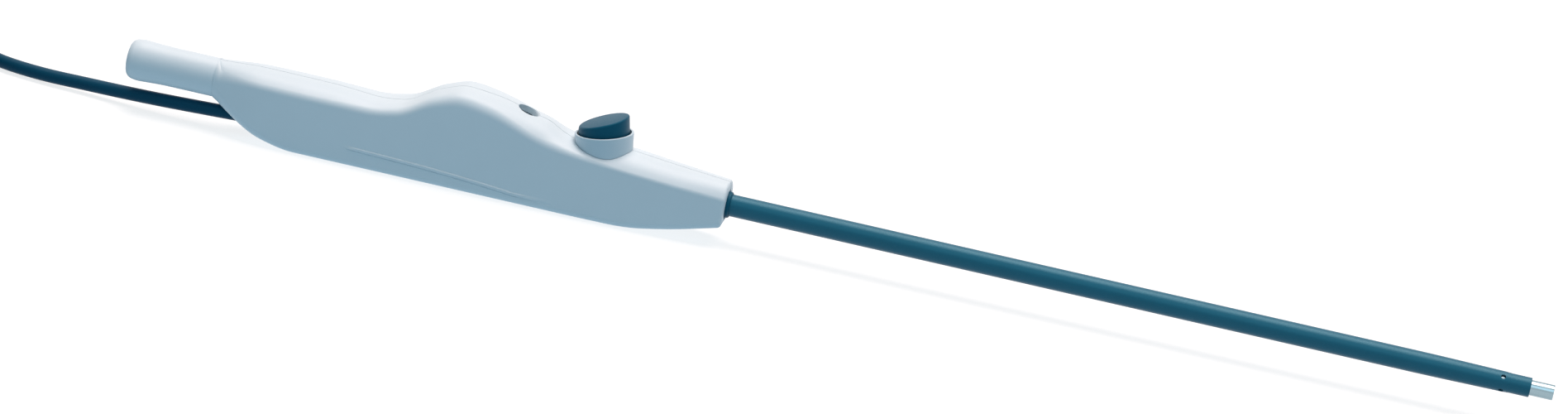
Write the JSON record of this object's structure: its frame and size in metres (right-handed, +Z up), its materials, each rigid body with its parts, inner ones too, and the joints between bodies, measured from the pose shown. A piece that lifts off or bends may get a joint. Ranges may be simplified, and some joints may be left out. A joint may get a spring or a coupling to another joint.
{
  "type": "suction coagulator",
  "caption": "Hand-held suction coagulator with a thumb vent, a push button, an insulated suction cannula, a rear tubing connector and a tied cord with a pin plug.",
  "frame": {"origin": "on the surface that the handle rests on, under the middle of the handle and cannula, without the cord", "axes": "+X runs from the suction connector to the cannula's tip, +Z is up through the button, +Y completes the right-handed frame"},
  "size_m": [0.4768, 0.044, 0.0193],
  "materials": {
    "pale_plastic": "satin moulded plastic, pale blue-grey",
    "dark_teal_plastic": "satin dark teal plastic",
    "stainless_steel": "drawn stainless tube, lightly polished",
    "silicone": "translucent silicone rubber",
    "cord_rubber": "smooth dark teal cord jacket",
    "wire_insulation": "thin extruded wire insulation",
    "switch_board": "coated circuit board",
    "plated_brass": "plated turned pin",
    "tie_band": "flat pale band"
  },
  "bodies": {
    "handle": {"handle_shell_left": "pale_plastic", "handle_shell_right": "pale_plastic", "suction_connector": "pale_plastic", "suction_hose": "silicone", "vent_manifold": "pale_plastic", "cannula_seal": "silicone", "vent_gasket": "silicone", "cannula_tube": "stainless_steel", "insulating_jacket": "dark_teal_plastic", "nose_bushing": "dark_teal_plastic", "button_bezel": "pale_plastic", "snap_dome": "stainless_steel", "switch_board": "switch_board", "active_contact": "stainless_steel", "wire_active": "wire_insulation", "wire_switch_1": "wire_insulation", "wire_switch_2": "wire_insulation", "cord_crimp": "stainless_steel", "power_cord_lead": "cord_rubber", "power_cord_hank": "cord_rubber", "hank_tie": "tie_band", "power_cord_tail": "cord_rubber", "plug_strain_relief": "cord_rubber", "plug_body": "dark_teal_plastic", "plug_pin_1": "plated_brass", "plug_pin_2": "plated_brass", "plug_pin_3": "plated_brass"},
    "button": {"coag_button": "dark_teal_plastic"}
  },
  "joints": [
    {"name": "button_press", "type": "slide", "parent": "handle", "child": "button", "axis": [0.1908, 0, -0.9816], "range_m": [0, 0.0008], "stiffness_N_per_m": 1500, "deforming": ["snap_dome"]}
  ]
}
